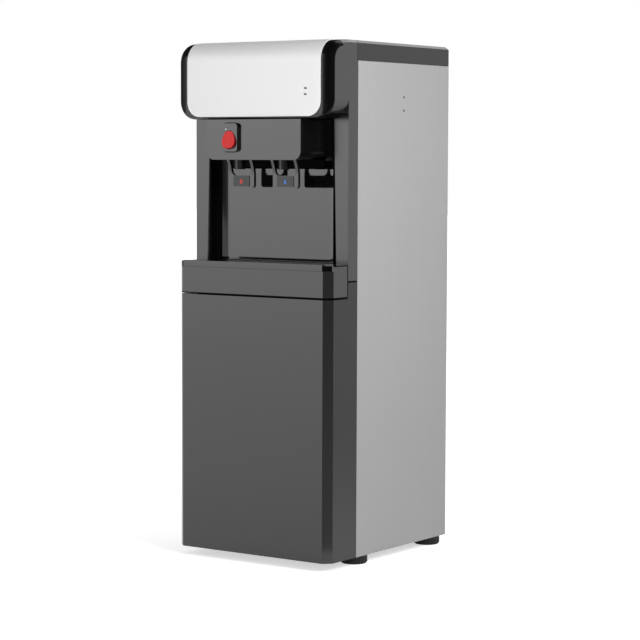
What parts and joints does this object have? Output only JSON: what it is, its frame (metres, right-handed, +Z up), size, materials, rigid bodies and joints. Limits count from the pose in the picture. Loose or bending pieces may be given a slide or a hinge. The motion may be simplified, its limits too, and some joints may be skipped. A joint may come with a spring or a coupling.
{
  "type": "bottleless water cooler",
  "caption": "Floor-standing mains-fed hot and cold water cooler with paddle taps, a red safety button, an alcove and a lift-out drip tray.",
  "frame": {"origin": "on the floor under the middle of the body, front to back and side to side", "axes": "+X to the user's right when facing the cooler, front towards -Y, +Z up"},
  "size_m": [0.34, 0.3972, 0.938],
  "materials": {
    "charcoal_gloss": "gloss charcoal",
    "charcoal_satin": "satin charcoal",
    "black_gloss": "gloss black",
    "black_satin": "satin black",
    "silver_paint": "silver paint",
    "panel_silver": "silver-grey coated steel",
    "steel_grey": "grey coated steel",
    "cover_grey": "light grey coated steel",
    "stainless": "drawn stainless steel",
    "spring_steel": "bright spring wire",
    "copper": "bright copper",
    "black_paint": "black enamel",
    "rubber": "soft black",
    "foam": "closed-cell foam",
    "white_plastic": "white moulding",
    "clear_tube": "milky tube",
    "red_plastic": "red moulding",
    "blue_plastic": "blue moulding",
    "label_grey": "grey plate with a raised drop",
    "lens": "dark lens",
    "board": "green board with its parts"
  },
  "bodies": {
    "cabinet": {"base_pan": "steel_grey", "side_panel_left": "panel_silver", "side_panel_right": "panel_silver", "rear_cover": "cover_grey", "top_cover": "charcoal_satin", "front_panel": "charcoal_gloss", "front_bulkhead": "steel_grey", "inner_shelves": "steel_grey", "upper_frame": "charcoal_satin", "head_bezel": "black_gloss", "head_fascia": "silver_paint", "signal_lenses": "lens", "alcove_liner": "charcoal_gloss", "tap_housing": "charcoal_gloss", "button_bezel": "black_satin", "tray_housing": "charcoal_gloss", "hot_tap_body": "black_satin", "cold_tap_body": "black_satin", "lever_pins": "stainless", "hot_spring": "spring_steel", "cold_spring": "spring_steel", "button_spring": "spring_steel", "cold_tank": "stainless", "evaporator_coil": "copper", "insulation": "foam", "hot_tank": "stainless", "compressor": "black_paint", "grommets": "rubber", "condenser_coil": "black_paint", "condenser_wires": "black_paint", "refrigerant_lines": "copper", "filter_head": "white_plastic", "water_tubes": "clear_tube", "solenoid_valve": "white_plastic", "control_board": "board", "inlet_fitting": "white_plastic", "drain_spout": "white_plastic", "power_inlet": "black_satin", "switch_frame": "black_satin", "screws": "black_paint"},
    "hot_lever": {"hot_lever": "black_satin", "hot_label_plate": "label_grey"},
    "cold_lever": {"cold_lever": "black_satin", "cold_label_plate": "label_grey"},
    "hot_stem": {"hot_stem": "white_plastic"},
    "cold_stem": {"cold_stem": "white_plastic"},
    "safety_button": {"safety_button": "red_plastic"},
    "drip_tray": {"drip_tray": "black_satin", "tray_lip": "charcoal_gloss"},
    "drip_grille": {"drip_grille": "black_satin"},
    "hot_rocker": {"hot_rocker": "red_plastic"},
    "cold_rocker": {"cold_rocker": "blue_plastic"},
    "drain_cap": {"drain_cap": "black_satin"},
    "sediment_filter": {"sediment_filter": "white_plastic"},
    "carbon_filter": {"carbon_filter": "white_plastic"},
    "membrane_filter": {"membrane_filter": "white_plastic"},
    "foot_front_left": {"foot_front_left": "black_satin"},
    "foot_front_right": {"foot_front_right": "black_satin"},
    "foot_rear_left": {"foot_rear_left": "black_satin"},
    "foot_rear_right": {"foot_rear_right": "black_satin"}
  },
  "joints": [
    {"name": "hot_lever_pivot", "type": "hinge", "parent": "cabinet", "child": "hot_lever", "pos_m": [-0.049, -0.163, 0.756], "axis": [1, 0, 0], "range_deg": [0, 12], "stiffness_Nm_per_rad": 1, "springref_deg": -8.59},
    {"name": "hot_stem_slide", "type": "slide", "parent": "cabinet", "child": "hot_stem", "axis": [0, 1, 0], "range_m": [0, 0.004], "deforming": ["hot_spring"]},
    {"name": "cold_lever_pivot", "type": "hinge", "parent": "cabinet", "child": "cold_lever", "pos_m": [0.049, -0.163, 0.756], "axis": [1, 0, 0], "range_deg": [0, 12], "stiffness_Nm_per_rad": 1, "springref_deg": -8.59},
    {"name": "cold_stem_slide", "type": "slide", "parent": "cabinet", "child": "cold_stem", "axis": [0, 1, 0], "range_m": [0, 0.004], "deforming": ["cold_spring"]},
    {"name": "button_pivot", "type": "hinge", "parent": "cabinet", "child": "safety_button", "pos_m": [-0.0485, -0.1923, 0.7752], "axis": [1, 0, 0], "range_deg": [0, 6], "stiffness_Nm_per_rad": 0.6, "springref_deg": -5.73, "deforming": ["button_spring"]},
    {"name": "tray_lift", "type": "slide", "parent": "cabinet", "child": "drip_tray", "axis": [0, 0, 1], "range_m": [0, 0.06]},
    {"name": "grille_lift", "type": "slide", "parent": "drip_tray", "child": "drip_grille", "axis": [0, 0, 1], "range_m": [0, 0.04]},
    {"name": "hot_rocker_pivot", "type": "hinge", "parent": "cabinet", "child": "hot_rocker", "pos_m": [0.112, 0.156, 0.243], "axis": [-1, 0, 0], "range_deg": [0, 16]},
    {"name": "cold_rocker_pivot", "type": "hinge", "parent": "cabinet", "child": "cold_rocker", "pos_m": [0.112, 0.156, 0.265], "axis": [-1, 0, 0], "range_deg": [0, 16]},
    {"name": "drain_cap_pull", "type": "slide", "parent": "cabinet", "child": "drain_cap", "axis": [0, 1, 0], "range_m": [0, 0.03]},
    {"name": "sediment_filter_twist", "type": "hinge", "parent": "cabinet", "child": "sediment_filter", "pos_m": [-0.096, -0.1495, 0.35], "axis": [0, 0, 1], "range_deg": [0, 90]},
    {"name": "carbon_filter_twist", "type": "hinge", "parent": "cabinet", "child": "carbon_filter", "pos_m": [0, -0.1495, 0.35], "axis": [0, 0, 1], "range_deg": [0, 90]},
    {"name": "membrane_filter_twist", "type": "hinge", "parent": "cabinet", "child": "membrane_filter", "pos_m": [0.096, -0.1495, 0.35], "axis": [0, 0, 1], "range_deg": [0, 90]},
    {"name": "foot_front_left_turn", "type": "hinge", "parent": "cabinet", "child": "foot_front_left", "pos_m": [-0.1445, -0.0767, 0.02], "axis": [0, 0, 1], "continuous": true},
    {"name": "foot_front_right_turn", "type": "hinge", "parent": "cabinet", "child": "foot_front_right", "pos_m": [0.1445, -0.0767, 0.02], "axis": [0, 0, 1], "continuous": true},
    {"name": "foot_rear_left_turn", "type": "hinge", "parent": "cabinet", "child": "foot_rear_left", "pos_m": [-0.1445, 0.169, 0.02], "axis": [0, 0, 1], "continuous": true},
    {"name": "foot_rear_right_turn", "type": "hinge", "parent": "cabinet", "child": "foot_rear_right", "pos_m": [0.1445, 0.169, 0.02], "axis": [0, 0, 1], "continuous": true}
  ],
  "couplings": [
    {"joint": "hot_stem_slide", "follows": "hot_lever_pivot", "m_per_rad": 0.0176},
    {"joint": "cold_stem_slide", "follows": "cold_lever_pivot", "m_per_rad": 0.0176}
  ]
}
